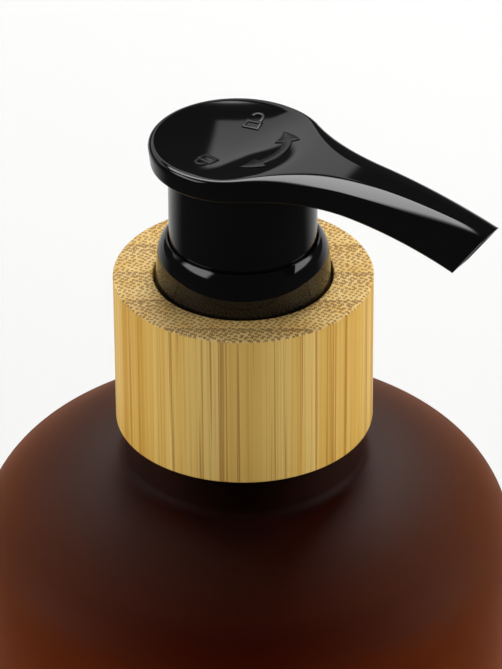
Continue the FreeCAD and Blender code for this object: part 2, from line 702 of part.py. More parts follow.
def make_actuator():
    blank = make_body("actuator")
    plan = make_sketch(blank, "HeadPlan", "XY_Plane", "sleeveTop + peakTop")
    draw(plan, [
        ("blankEnd", "-blankHalf"),
        ("blankEnd", "blankHalf"),
        ("sideAlong", "sideAside", "-neckArc"),
        ("rimAlong", "rimAside", "discRadius"),
        ("-discBack - discRadius", "0", "discRadius"),
        ("rimAlong", "-rimAside", "-neckArc"),
        ("sideAlong", "-sideAside"),
    ])
    pad = extrude(blank, "Head", plan, "peakTop - tipTop + tipHeight + overcut", downwards=True)
    bind(pad, "TaperAngle", "-sideDraft")
    over = make_sketch(blank, "OverTop", "XZ_Plane")
    draw(over, [
        ("-blankBack", "discRim"),
        ("riseStart", "discRim", "riseArc"),
        ("riseEnd", "riseEndTop", "-crownArc"),
        ("spoutReach", "sleeveTop + tipTop"),
        ("blankEnd + overcut", "sleeveTop + tipTop"),
        ("blankEnd + overcut", "blankTop"),
        ("-blankBack", "blankTop"),
    ])
    extrude(blank, "CutOver", over, "4*discRadius", cut=True, both=True)
    under = make_sketch(blank, "UnderSide", "XZ_Plane")
    draw(under, [
        ("-blankBack", "tipUnder - 2*overcut"),
        ("blankEnd + overcut", "tipUnder - 2*overcut"),
        ("blankEnd + overcut", "sleeveTop + tipTop"),
        ("spoutReach", "sleeveTop + tipTop"),
        ("tipBack", "tipUnder", "underArc"),
        ("underStart", "discUnder"),
        ("-blankBack", "discUnder"),
    ])
    cut = extrude(blank, "CutUnder", under, "4*discRadius", cut=True, both=True)
    doc.recompute()
    rounding = blank.newObject("PartDesign::Fillet", "TopRounding")
    rounding.Base = (cut, top_edges(cut.Shape))
    bind(rounding, "Radius", "topRounding")
    revolve(blank, "Hollow", [
        ("socketRadius", "discUnder - overcut"),
        ("skirtBore", "discUnder - overcut"),
        ("skirtBore", "discCeiling"),
        ("socketRadius", "discCeiling"),
    ], cut=True)
    revolve(blank, "Skirt", [
        ("skirtBore", "skirtEnd"),
        ("skirtRadius", "skirtEnd"),
        ("skirtRadius", "discUnder + overcut"),
        ("skirtBore", "discUnder + overcut"),
    ])
    revolve(blank, "Socket", [
        ("0", "skirtEnd"),
        ("socketRadius", "skirtEnd"),
        ("socketRadius", "discUnder + overcut"),
        ("0", "discUnder + overcut"),
    ])
    bridge = make_sketch(blank, "BridgePlan", "XY_Plane", "sleeveTop + bridgeBottom")
    draw(bridge, [
        ("stemRadius", "-2*channelRadius"),
        ("skirtBore + skirtWall/2", "-2*channelRadius"),
        ("skirtBore + skirtWall/2", "2*channelRadius"),
        ("stemRadius", "2*channelRadius"),
    ])
    extrude(blank, "Bridge", bridge, "ceiling - bridgeBottom + bridgeLap")
    key = make_sketch(blank, "KeyPlan", "XY_Plane", "skirtEnd")
    bind(key, "AttachmentOffset.Rotation.Angle", "keyPlace")
    sector(key, "keyRadius", "(skirtBore + skirtWall/2)", "keyAngle")
    pad = extrude(blank, "Key", key, "keyTop - skirtBottom")
    repeat(blank, "Keys", pad, 2)
    revolve(blank, "StemHole", [
        ("0", "skirtEnd - overcut"),
        ("stemRadius", "skirtEnd - overcut"),
        ("stemRadius", "sleeveTop + stemTop"),
        ("stemBore", "sleeveTop + stemTop"),
        ("stemBore", "channelLine"),
        ("0", "channelLine"),
    ], cut=True)
    path = draw(make_sketch(blank, "ChannelPath", "XZ_Plane"), [
        ("0", "channelLine"),
        ("channelTurn", "channelLine", "-channelArc"),
        ("outletAlong", "outletLine"),
    ], closed=False)
    mouth = make_sketch(blank, "ChannelSection", "YZ_Plane")
    centre = FreeCAD.Vector(0, value("channelLine"), 0)
    mouth.addGeometry(Part.Circle(centre, FreeCAD.Vector(0, 0, 1), value("channelRadius")), False)
    place_point(mouth, 0, 3, "0", "channelLine")
    size = mouth.addConstraint(Sketcher.Constraint("Radius", 0, value("channelRadius")))
    bind(mouth, f"Constraints[{size}]", "channelRadius")
    channel = blank.newObject("PartDesign::SubtractivePipe", "Channel")
    channel.Profile = mouth
    channel.Spine = (path, ["Edge1", "Edge2"])
    return blank


def finish(doc):
    doc.recompute()
    for item in doc.Objects:
        faults = {"Invalid", "Error"} & set(item.State)
        if faults:
            raise RuntimeError(f"{item.Label}: {sorted(faults)}")


subparts = [
    make_bottle(),
    make_screw_cap(),
    make_bamboo_sleeve(),
    make_lock_collar(),
    make_neck_gasket(),
    make_pump_housing(),
    make_dip_tube(),
    make_inlet_ball(),
    make_ball_cage(),
    make_spring(),
    make_piston(),
    make_stem(),
    make_stem_plug(),
    make_actuator(),
]
finish(doc)
os.makedirs("parts", exist_ok=True)
for part in subparts:
    shape = part.Shape
    if shape.isNull() or not shape.isValid():
        raise RuntimeError(f"{part.Label}: bad shape")
    shape.exportStep(f"parts/{part.Label}.step")
    box = shape.BoundBox
    span = f"z {box.ZMin:7.2f} to {box.ZMax:7.2f}"
    print(f"{part.Label:14} {shape.Volume:10.1f} mm3  {span}  solids {len(shape.Solids)}")
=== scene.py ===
import bpy
import bmesh
import math
from mathutils import Matrix, Vector


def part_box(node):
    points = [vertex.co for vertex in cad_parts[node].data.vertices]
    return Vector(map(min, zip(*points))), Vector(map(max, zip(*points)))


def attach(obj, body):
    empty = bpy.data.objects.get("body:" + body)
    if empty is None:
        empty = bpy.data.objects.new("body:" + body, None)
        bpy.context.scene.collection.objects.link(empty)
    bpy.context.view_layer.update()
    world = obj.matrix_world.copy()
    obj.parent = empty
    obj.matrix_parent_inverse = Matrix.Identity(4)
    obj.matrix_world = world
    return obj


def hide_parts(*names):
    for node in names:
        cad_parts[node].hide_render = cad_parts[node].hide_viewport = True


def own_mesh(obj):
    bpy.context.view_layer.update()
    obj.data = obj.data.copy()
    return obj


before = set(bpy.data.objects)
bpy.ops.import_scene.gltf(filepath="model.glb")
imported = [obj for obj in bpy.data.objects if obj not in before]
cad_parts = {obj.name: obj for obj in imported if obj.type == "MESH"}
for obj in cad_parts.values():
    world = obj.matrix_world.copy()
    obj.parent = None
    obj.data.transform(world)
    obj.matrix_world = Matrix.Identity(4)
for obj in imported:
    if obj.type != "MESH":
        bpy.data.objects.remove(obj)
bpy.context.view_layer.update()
mm = 0.001

sleeveLow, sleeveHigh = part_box("bamboo_sleeve")
sleeveTop = sleeveHigh.z / mm
sleeveBottom = sleeveLow.z / mm
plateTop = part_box("screw_cap")[1].z / mm


def arc(across, up, radius, start, end, steps):
    turn = (end - start) / steps
    angles = [math.radians(start + turn * step) for step in range(steps + 1)]
    return [(across + radius * math.cos(a), up + radius * math.sin(a)) for a in angles]


def keep(name, mesh, body, node=None, sharp=35):
    # the finished bmesh becomes an object at the origin that rides on its body
    data = bpy.data.meshes.new(name)
    mesh.to_mesh(data)
    mesh.free()
    data.shade_smooth()
    data.set_sharp_from_angle(angle=math.radians(sharp))
    made = bpy.data.objects.new(name, data)
    bpy.context.scene.collection.objects.link(made)
    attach(made, body)
    if node:
        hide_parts(node)
    return made


def spinProfile(mesh, points, steps):
    # points are (radius, height) in mm, in order round the section
    corners = [mesh.verts.new((r * mm, 0, z * mm)) for r, z in points]
    sides = [mesh.edges.new(pair) for pair in zip(corners, corners[1:] + corners[:1])]
    bmesh.ops.spin(mesh, geom=corners + sides, axis=(0, 0, 1), cent=(0, 0, 0),
                   angle=math.tau, steps=steps, use_merge=True)
    bmesh.ops.remove_doubles(mesh, verts=mesh.verts, dist=1e-6)
    bmesh.ops.recalc_face_normals(mesh, faces=mesh.faces)


bottle = dict(
    bodyRadius=39.0, bodyHeight=121.2, heel=5.0, footInner=27.0, pushUp=1.5, base=5.0, wall=2.8,
    shoulderRise=15.6, shoulderArc=12.3, neck=17.2, neckRise=6.2, neckFillet=1.4,
    root=12.5, mouth=9.6, throat=12.6, finishRise=16.0,
    threadRadius=13.7, threadPitch=4.233, threadWidth=2.3, threadTurns=1.6, threadStart=4.6,
    threadSink=0.4, threadSteps=120, ringEdge=0.4, lip=0.5,
    steps=160,
)


def makeBottle():
    b = bottle
    run = b["bodyRadius"] - b["neck"]
    rise = b["shoulderRise"]
    small = b["shoulderArc"]
    large = (run ** 2 - 2 * run * small + rise ** 2) / (2 * (rise - small))
    meet = math.degrees(math.atan2(large - rise, run - small))
    top = b["bodyHeight"] + rise
    neckTop = top + b["neckRise"]
    heelCentre = b["bodyRadius"] - b["heel"]
    crownEnd = math.degrees(math.acos(b["neckFillet"] / large))
    inner = b["bodyRadius"] - b["wall"]
    points = [(0, b["pushUp"]), (b["footInner"] - 4 * b["pushUp"], b["pushUp"]), (b["footInner"], 0)]
    points += arc(heelCentre, b["heel"], b["heel"], -90, 0, 12)
    points += arc(b["bodyRadius"] - small, b["bodyHeight"], small, 0, meet, 20)
    points += arc(b["neck"], top - large, large, meet, crownEnd, 20)[1:]
    points += arc(b["neck"] + b["neckFillet"], top + b["neckFillet"], b["neckFillet"], 270, 180, 8)
    points += arc(b["neck"] - b["ringEdge"], neckTop - b["ringEdge"], b["ringEdge"], 0, 90, 4)
    points += [(b["root"], neckTop)]
    lipCentre = neckTop + b["finishRise"] - b["lip"]
    points += arc(b["root"] - b["lip"], lipCentre, b["lip"], 0, 90, 4)
    points += arc(b["mouth"] + b["lip"], lipCentre, b["lip"], 90, 180, 4)
    points += [(b["mouth"], neckTop + 3), (b["throat"], neckTop - 1), (b["throat"], top - b["wall"])]
    points += arc(b["neck"], top - large, large - b["wall"], 90, meet, 20)
    points += arc(b["bodyRadius"] - small, b["bodyHeight"], small - b["wall"], meet, 0, 20)[1:]
    points += arc(inner - b["heel"], b["base"] + b["heel"], b["heel"], 0, -90, 12)
    points += [(0, b["base"])]
    mesh = bmesh.new()
    spinProfile(mesh, points, b["steps"])
    # the thread is one ridge that climbs as it turns
    low = neckTop + b["threadStart"]
    width = b["threadWidth"]
    foot = b["root"] - b["threadSink"]
    section = [(foot, low), (b["root"], low), (b["threadRadius"], low + width / 4),
               (b["threadRadius"], low + 3 * width / 4), (b["root"], low + width), (foot, low + width)]
    ridge = [mesh.verts.new((r * mm, 0, z * mm)) for r, z in section]
    face = mesh.faces.new(ridge)
    bmesh.ops.spin(mesh, geom=[face], axis=(0, 0, 1), cent=(0, 0, 0),
                   dvec=(0, 0, b["threadPitch"] * b["threadTurns"] / b["threadSteps"] * mm),
                   angle=math.tau * b["threadTurns"], steps=b["threadSteps"], use_merge=False)
    bmesh.ops.recalc_face_normals(mesh, faces=mesh.faces)
    return keep("frostedBottle", mesh, "bottle", "bottle", 50)


sleeve = dict(radius=18.5, bore=16.2, hole=12.8, edge=0.3, steps=160)


def makeSleeve():
    s = sleeve
    e = s["edge"]
    points = arc(s["radius"] - e, sleeveBottom + e, e, -90, 0, 4)
    points += arc(s["radius"] - e, sleeveTop - e, e, 0, 90, 4)
    points += arc(s["hole"] + e, sleeveTop - e, e, 90, 180, 4)
    points += [(s["hole"], plateTop), (s["bore"], plateTop), (s["bore"], sleeveBottom)]
    mesh = bmesh.new()
    spinProfile(mesh, points, s["steps"])
    return keep("bambooSleeve", mesh, "closure", "bamboo_sleeve", 50)


collar = dict(
    wall=12.5, edgeRadius=12.2, edgeRise=3.4, rise=6.2, bore=10.7, rim=0.25, flange=13.5,
    flangeDrop=3.7, bottomDrop=5.1, webDrop=4.1, curve=4.2, guide=3.08,
    spigot=7.3, spigotWall=1.0, spigotDepth=3.9, boss=8.2, bossWall=1.0, bossRise=5.0,
    stopRadius=9.1, stopAngle=66.0, stopPlace=-45.0, stopSink=0.5, steps=160,
)


def makeCollar():
    c = collar
    top = sleeveTop + c["rise"]
    edge = sleeveTop + c["edgeRise"]
    under = sleeveTop - c["bottomDrop"]
    web = sleeveTop - c["webDrop"]
    bossTop = sleeveTop + c["bossRise"]
    rimRadius = c["bore"] + c["rim"]
    # the shoulder is an arc through the crisp edge and the rim
    start = Vector((c["edgeRadius"], edge))
    end = Vector((rimRadius, top))
    chord = end - start
    half = chord.length / 2
    side = Vector((-chord.y, chord.x)).normalized()
    centre = (start + end) / 2 + side * math.sqrt(c["curve"] ** 2 - half ** 2)
    angles = [math.degrees(math.atan2(p.y - centre.y, p.x - centre.x)) for p in (start, end)]
    points = [(c["guide"], under), (c["spigot"] - c["spigotWall"], under),
              (c["spigot"] - c["spigotWall"], under - c["spigotDepth"]),
              (c["spigot"], under - c["spigotDepth"]), (c["spigot"], under),
              (c["flange"], under), (c["flange"], sleeveTop - c["flangeDrop"]),
              (c["wall"], sleeveTop - c["flangeDrop"]), (c["wall"], sleeveTop)]
    points += arc(centre.x, centre.y, c["curve"], angles[0], angles[1], 14)
    points += [(c["bore"], top), (c["bore"], web), (c["boss"], web), (c["boss"], bossTop),
               (c["boss"] - c["bossWall"], bossTop), (c["boss"] - c["bossWall"], web), (c["guide"], web)]
    mesh = bmesh.new()
    spinProfile(mesh, points, c["steps"])
    # two stops stand on the boss and end the head's turn
    for turn in (c["stopPlace"], c["stopPlace"] + 180):
        first = math.radians(turn - c["stopAngle"] / 2)
        inner, foot = c["boss"] - c["stopSink"], web - c["stopSink"]
        line = [(inner, foot), (c["stopRadius"], foot), (c["stopRadius"], bossTop), (inner, bossTop)]
        corners = [mesh.verts.new((r * math.cos(first) * mm, r * math.sin(first) * mm, z * mm))
                   for r, z in line]
        stop = mesh.faces.new(corners)
        bmesh.ops.spin(mesh, geom=[stop], axis=(0, 0, 1), cent=(0, 0, 0),
                       angle=math.radians(c["stopAngle"]), steps=16)
    bmesh.ops.recalc_face_normals(mesh, faces=mesh.faces)
    return keep("lockCollar", mesh, "pump_body", "lock_collar", 32)


spring = dict(radius=5.2, wire=0.45, turns=8, around=10, along=48, seat=119.7, pressed=0.675)


def makeSpring():
    # an open coil, drawn up from one ring of the wire
    s = spring
    low, high = (corner.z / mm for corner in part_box("return_spring"))
    pitch = (high - low - 2 * s["wire"]) / s["turns"]
    mesh = bmesh.new()
    ring = bmesh.ops.create_circle(mesh, segments=s["around"], radius=s["wire"] * mm, cap_ends=True)["verts"]
    bmesh.ops.rotate(mesh, verts=ring, cent=(0, 0, 0), matrix=Matrix.Rotation(math.pi / 2, 3, "X"))
    bmesh.ops.translate(mesh, verts=ring, vec=Vector((s["radius"], 0, low + s["wire"])) * mm)
    bmesh.ops.spin(mesh, geom=mesh.faces[:], axis=(0, 0, 1), cent=(0, 0, 0), angle=math.tau * s["turns"],
                   dvec=(0, 0, pitch / s["along"] * mm), steps=s["turns"] * s["along"], use_merge=False)
    bmesh.ops.recalc_face_normals(mesh, faces=mesh.faces)
    made = keep("returnSpring", mesh, "pump_body", "return_spring", 50)
    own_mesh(made)
    return made


head = dict(
    discRadius=12.35, discBack=1.0, discTop=21.3, discBottom=18.0, draft=6.0,
    neckArc=30.0, sideTaper=6.4, tipHalf=2.45, reach=40.3, tipTop=19.4, tipHeight=6.9, tipCut=35.5,
    peakAlong=16.0, peakTop=22.1, riseArc=60.0, underStart=11.0,
    discEdge=0.8, spoutEdge=3.0, tipEdge=1.6, edgeDrop=0.75, facet=0.5, lowerEdge=0.35,
    dish=0.9, dishRadius=11.6, dishFadeStart=0.2,
    edgeStart=2.0, edgeFull=17.0, tipEdgeStart=20.0, tipEdgeFull=41.0, pastTip=3.0,
    tipWall=0.75, tipBevel=0.12, outletDepth=5.0, outletWay=(-0.9, 0, 0.3),
    skirt=10.5, skirtBore=9.3, skirtBottom=5.7, skirtFillet=0.3, skirtBevel=0.2, skirtSink=0.6,
    socket=4.4, socketBore=3.0, skirtSteps=128,
    stations=190, across=15, edgeSteps=9, wallSteps=6, lowSteps=3, underSteps=6,
)


def smooth(x, low, high):
    t = min(max((x - low) / (high - low), 0), 1)
    return t * t * (3 - 2 * t)


def planPoint(share):
    # a point on the head's outline from the back (0) to past the tip (1), with its inward direction
    h = head
    taper = math.radians(h["sideTaper"])
    base = h["tipHalf"] + (h["reach"] + h["discBack"]) * math.tan(taper) + h["neckArc"] / math.cos(taper)
    span = h["discRadius"] + h["neckArc"]
    along = math.cos(taper) ** 2 * (base * math.tan(taper)
                                    + math.sqrt(span ** 2 * (1 + math.tan(taper) ** 2) - base ** 2))
    aside = base - along * math.tan(taper)
    rimTurn = math.atan2(aside, along)
    discLength = (math.pi - rimTurn) * h["discRadius"]
    hollowTurn = math.pi / 2 - taper - rimTurn
    hollowLength = hollowTurn * h["neckArc"]
    sideStart = Vector((along - h["discBack"] - h["neckArc"] * math.sin(taper),
                        aside - h["neckArc"] * math.cos(taper)))
    sideLength = (h["reach"] + h["pastTip"] - sideStart.x) / math.cos(taper)
    distance = share * (discLength + hollowLength + sideLength)
    if distance < discLength:
        angle = math.pi - distance / h["discRadius"]
        outward = Vector((math.cos(angle), math.sin(angle)))
        return Vector((-h["discBack"], 0)) + outward * h["discRadius"], -outward
    if distance < discLength + hollowLength:
        angle = rimTurn + (distance - discLength) / h["neckArc"]
        inward = -Vector((math.cos(angle), math.sin(angle)))
        return Vector((along - h["discBack"], aside)) + inward * h["neckArc"], inward
    left = distance - discLength - hollowLength
    return (sideStart + Vector((math.cos(taper), -math.sin(taper))) * left,
            Vector((-math.sin(taper), -math.cos(taper))))


def topHeight(x, y):
    # crown of the spout, hollow rise behind it, then the dished disc
    h = head
    fall = h["peakTop"] - h["tipTop"]
    run = h["reach"] - h["peakAlong"]
    crown = (run ** 2 + fall ** 2) / (2 * fall)
    rise = h["peakTop"] - h["discTop"]
    start = h["peakAlong"] - math.sqrt(rise * (2 * (crown + h["riseArc"]) - rise))
    join = start + (h["peakAlong"] - start) * h["riseArc"] / (crown + h["riseArc"])
    if x < start:
        level = h["discTop"]
    elif x < join:
        level = h["discTop"] + h["riseArc"] - math.sqrt(h["riseArc"] ** 2 - (x - start) ** 2)
    else:
        level = h["peakTop"] - crown + math.sqrt(crown ** 2 - (x - h["peakAlong"]) ** 2)
    # the dish ends in an edge at the back and fades out towards the spout
    reach = math.hypot(x + h["discBack"], y)
    share = min(reach / h["dishRadius"], 1)
    fade = smooth((x + h["discBack"]) / max(reach, 0.01), h["dishFadeStart"], 1)
    return level - h["dish"] * (1 - share ** 2) ** (1 + fade)


def underHeight(x):
    h = head
    back = h["reach"] - h["tipHeight"] * math.tan(math.radians(h["tipCut"]))
    fall = h["discBottom"] - h["tipTop"] + h["tipHeight"]
    run = back - h["underStart"]
    bend = (run ** 2 + fall ** 2) / (2 * fall)
    if x < h["underStart"]:
        return h["discBottom"]
    return h["discBottom"] - bend + math.sqrt(bend ** 2 - (x - h["underStart"]) ** 2)


def sectionPoint(share, place):
    # place runs down one side: 0 top middle, 1 to 2 the upper edge, 3 to 4 the lower edge, 5 under the middle
    h = head
    spot, inward = planPoint(share)
    edge = h["discEdge"] + (h["spoutEdge"] - h["discEdge"]) * smooth(spot.x, h["edgeStart"], h["edgeFull"])
    edge -= (h["spoutEdge"] - h["tipEdge"]) * smooth(spot.x, h["tipEdgeStart"], h["tipEdgeFull"])
    low, drop = h["lowerEdge"], h["edgeDrop"]
    rim = topHeight(spot.x, spot.y)
    if place < 1:
        inner = spot + inward * edge
        y = inner.y * place
        return inner.x, y, topHeight(inner.x, y)
    if place < 2:
        # round on the disc, flatter along the spout
        angle = math.radians(90 * (2 - place))
        power = 1 + h["facet"] * smooth(spot.x, h["edgeStart"], h["edgeFull"])
        level, upright = math.cos(angle) ** power, math.sin(angle) ** power
        point = spot + inward * edge * (1 - level)
        lift = topHeight(point.x, point.y) - rim
        return point.x, point.y, rim + lift * upright - drop * (1 - upright)
    bottom = underHeight(spot.x) + low
    start = rim - drop
    slope = math.tan(math.radians(h["draft"]))
    if place < 3:
        z = start + (bottom - start) * (place - 2)
        point = spot + inward * (start - z) * slope
        return point.x, point.y, z
    foot = spot + inward * (start - bottom) * slope
    if place < 4:
        angle = math.radians(90 * (place - 3))
        point = foot + inward * low * (1 - math.cos(angle))
        return point.x, point.y, bottom - low * math.sin(angle)
    inner = foot + inward * low
    return inner.x, inner.y * (5 - place), underHeight(inner.x)


def sectionPlaces():
    h = head
    places = [step / h["across"] for step in range(h["across"])]
    places += [1 + step / h["edgeSteps"] for step in range(h["edgeSteps"])]
    places += [2 + step / h["wallSteps"] for step in range(h["wallSteps"])]
    places += [3 + step / h["lowSteps"] for step in range(h["lowSteps"])]
    places += [4 + step / h["underSteps"] for step in range(h["underSteps"] + 1)]
    return places


def makeHead():
    h = head
    places = sectionPlaces()
    rounds = places[::-1] + places[1:]
    count = len(places) - 1
    mesh = bmesh.new()
    # a flat grid is wrapped round the head: rows go from the back to the tip, columns go round
    bmesh.ops.create_grid(mesh, x_segments=h["stations"], y_segments=2 * count, size=1)
    for corner in mesh.verts:
        share = (corner.co.x + 1) / 2
        column = round((corner.co.y + 1) * count)
        x, y, z = sectionPoint(share, rounds[column])
        corner.co = Vector((x, y if column < count else -y, sleeveTop + z)) * mm
    bmesh.ops.remove_doubles(mesh, verts=mesh.verts, dist=4e-6)
    tip = Vector((h["reach"], 0, sleeveTop + h["tipTop"])) * mm
    cut = math.radians(h["tipCut"])
    facing = Vector((math.cos(cut), 0, -math.sin(cut)))
    bmesh.ops.bisect_plane(mesh, geom=mesh.verts[:] + mesh.edges[:] + mesh.faces[:],
                           plane_co=tip, plane_no=facing, clear_outer=True)
    rim = [side for side in mesh.edges if side.is_boundary]
    end = bmesh.ops.edgeloop_fill(mesh, edges=rim)["faces"]
    bmesh.ops.recalc_face_normals(mesh, faces=mesh.faces)
    # the outlet is a hollow in the slanted end
    bmesh.ops.inset_region(mesh, faces=end, thickness=h["tipWall"] * mm, use_even_offset=True)
    hollow = bmesh.ops.extrude_face_region(mesh, geom=end)["geom"]
    bmesh.ops.delete(mesh, geom=end, context="FACES_ONLY")
    deep = [item for item in hollow if isinstance(item, bmesh.types.BMVert)]
    bmesh.ops.translate(mesh, verts=deep, vec=Vector(h["outletWay"]) * h["outletDepth"] * mm)
    rim = [side for side in rim if side.is_valid]
    bmesh.ops.bevel(mesh, geom=rim, offset=h["tipBevel"] * mm, segments=2, profile=0.5,
                    affect="EDGES", material=-1)
    # skirt and stem socket hang from the disc
    low = sleeveTop + h["skirtBottom"]
    high = sleeveTop + h["discBottom"]
    for inner, outer in ((h["skirtBore"], h["skirt"]), (h["socketBore"], h["socket"])):
        points = [(inner, low), (outer - h["skirtBevel"], low), (outer, low + h["skirtBevel"])]
        points += arc(outer + h["skirtFillet"], high - h["skirtFillet"], h["skirtFillet"], 180, 90, 5)
        points += [(outer, high + h["skirtSink"]), (inner, high + h["skirtSink"])]
        spinProfile(mesh, points, h["skirtSteps"])
    return keep("pumpHead", mesh, "head", "actuator", 38)


marks = dict(radius=7.1, height=0.24, sink=0.4, bevel=0.05, rimAngle=0.7,
             shaftTurn=30.0, tipTurn=54.0, shaft=0.66, barb=1.75, point=0.09, arrowSteps=54,
             openPlace=100.0, openLift=1.1, closedPlace=-100.0, closedLift=0.35, lockInset=0.4,
             lockWidth=2.5, lockHeight=1.9, bow=0.78, bowWidth=0.42)


def raiseFaces(mesh, faces, toHead):
    # flat faces drawn round (0, 0) become low solids that follow the dished top
    up = Vector((0, 0, marks["height"] * mm))
    made = bmesh.ops.extrude_face_region(mesh, geom=faces)["geom"]
    tops = [item for item in made if isinstance(item, bmesh.types.BMVert)]
    bmesh.ops.translate(mesh, verts=tops, vec=up)
    corners = list({corner for face in faces for corner in face.verts} | set(tops))
    ground = sleeveTop - marks["height"] * marks["sink"]
    for corner in corners:
        corner.co = toHead @ corner.co
        corner.co.z += (ground + topHeight(corner.co.x / mm, corner.co.y / mm)) * mm
    bmesh.ops.recalc_face_normals(mesh, faces=mesh.faces)
    upper = set(tops)
    edges = [side for corner in tops for side in corner.link_edges if side.other_vert(corner) in upper]
    rims = list({side for side in edges if side.calc_face_angle(0) > marks["rimAngle"]})
    bmesh.ops.bevel(mesh, geom=rims, offset=marks["bevel"] * mm, segments=2, profile=0.5,
                    affect="EDGES", material=-1, clamp_overlap=True)


def drawArrow(mesh):
    # a curved double arrow about the disc's centre, made from a strip
    m = marks
    before = set(mesh.faces)
    bmesh.ops.create_grid(mesh, x_segments=m["arrowSteps"], y_segments=2, size=1)
    faces = [face for face in mesh.faces if face not in before]
    share = m["shaftTurn"] / m["tipTurn"]
    for corner in {corner for face in faces for corner in face.verts}:
        turn, side = corner.co.x, corner.co.y
        barb = m["barb"] * (1 - abs(turn)) / (1 - share)
        half = m["shaft"] if abs(turn) < share - 0.01 else max(barb, m["point"])
        angle = math.radians(turn * m["tipTurn"])
        reach = m["radius"] + side * half
        corner.co = Vector((math.cos(angle) * reach - head["discBack"], math.sin(angle) * reach, 0)) * mm
    raiseFaces(mesh, faces, Matrix.Identity(4))


def drawLock(mesh, place, lift):
    # a padlock outline: a square frame with a bow, its top towards the rim
    m = marks
    turn = Matrix.Rotation(math.radians(place - 90), 4, "Z")
    toHead = Matrix.Translation((-head["discBack"] * mm, 0, 0)) @ turn
    middle = m["radius"] - m["lockInset"]
    before = set(mesh.faces)
    plate = bmesh.ops.create_grid(mesh, x_segments=1, y_segments=1, size=0.5)["verts"]
    for corner in plate:
        corner.co.x *= m["lockWidth"] * mm
        corner.co.y = (middle - m["lockHeight"] / 2 + corner.co.y * m["lockHeight"]) * mm
    faces = [face for face in mesh.faces if face not in before]
    bmesh.ops.inset_region(mesh, faces=faces, thickness=m["bowWidth"] * mm, use_even_offset=True,
                           use_boundary=True)
    bmesh.ops.delete(mesh, geom=faces, context="FACES_ONLY")
    faces = [face for face in mesh.faces if face not in before]
    # the bow is a half turn of a short bar, with a leg down to the frame, or two when it is shut
    known = set(mesh.faces)
    foot = [mesh.verts.new(((m["bow"] + side * m["bowWidth"] / 2) * mm, (middle + lift) * mm, 0))
            for side in (-1, 1)]
    bar = mesh.edges.new(foot)
    bmesh.ops.spin(mesh, geom=[bar], axis=(0, 0, 1), cent=(0, (middle + lift) * mm, 0),
                   angle=math.pi, steps=10)
    leg = bmesh.ops.extrude_edge_only(mesh, edges=[bar])["geom"]
    low = [item for item in leg if isinstance(item, bmesh.types.BMVert)]
    bmesh.ops.translate(mesh, verts=low, vec=(0, -lift * mm, 0))
    if lift == m["closedLift"]:
        ends = [side for side in mesh.edges if side.is_boundary and side != bar
                and all(abs(v.co.y - (middle + lift) * mm) < 1e-6 and v.co.x < 0 for v in side.verts)]
        leg = bmesh.ops.extrude_edge_only(mesh, edges=ends)["geom"]
        low = [item for item in leg if isinstance(item, bmesh.types.BMVert)]
        bmesh.ops.translate(mesh, verts=low, vec=(0, -lift * mm, 0))
    bow = [face for face in mesh.faces if face not in known]
    raiseFaces(mesh, faces, toHead)
    raiseFaces(mesh, bow, toHead)


def makeMarks():
    mesh = bmesh.new()
    drawArrow(mesh)
    drawLock(mesh, marks["openPlace"], marks["openLift"])
    drawLock(mesh, marks["closedPlace"], marks["closedLift"])
    return keep("headMarks", mesh, "head", None, 30)


def colour(text):
    # an sRGB hex value as linear colour
    parts = [int(text[at:at + 2], 16) / 255 for at in (0, 2, 4)]
    return [p / 12.92 if p <= 0.04045 else ((p + 0.055) / 1.055) ** 2.4 for p in parts] + [1.0]


def addNode(tree, kind, inputs=None, **settings):
    made = tree.nodes.new(kind)
    for name, setting in settings.items():
        setattr(made, name, setting)
    for name, given in (inputs or {}).items():
        if isinstance(given, bpy.types.NodeSocket):
            tree.links.new(given, made.inputs[name])
        else:
            made.inputs[name].default_value = given
    return made


def newMaterial(name):
    made = bpy.data.materials.new(name)
    made.use_nodes = True
    made.node_tree.nodes.clear()
    tree = made.node_tree
    place = addNode(tree, "ShaderNodeTexCoord").outputs["Object"]
    return made, tree, place


def finishMaterial(tree, shader):
    addNode(tree, "ShaderNodeOutputMaterial", {"Surface": shader.outputs[0]})


def rampNode(tree, factor, stops):
    made = addNode(tree, "ShaderNodeValToRGB", {"Fac": factor})
    stopsMade = made.color_ramp.elements
    while len(stopsMade) < len(stops):
        stopsMade.new(0.5)
    for stop, (place, shade) in zip(stopsMade, stops):
        stop.position = place
        stop.color = shade
    return made


perMm = 1000.0      # pattern scales are counts per mm


bamboo = dict(pale="EAC672", honey="E0B458", dark="CF9C3C", line="AC7626", hair="C2902F",
              endPale="EBCB86", endHoney="DCB466", endDark="6C3A0A", strip=7.5, stripTurn=58.0,
              bundleSpacing=0.68, stretch=0.005, topFrom=0.3, topFull=0.12)


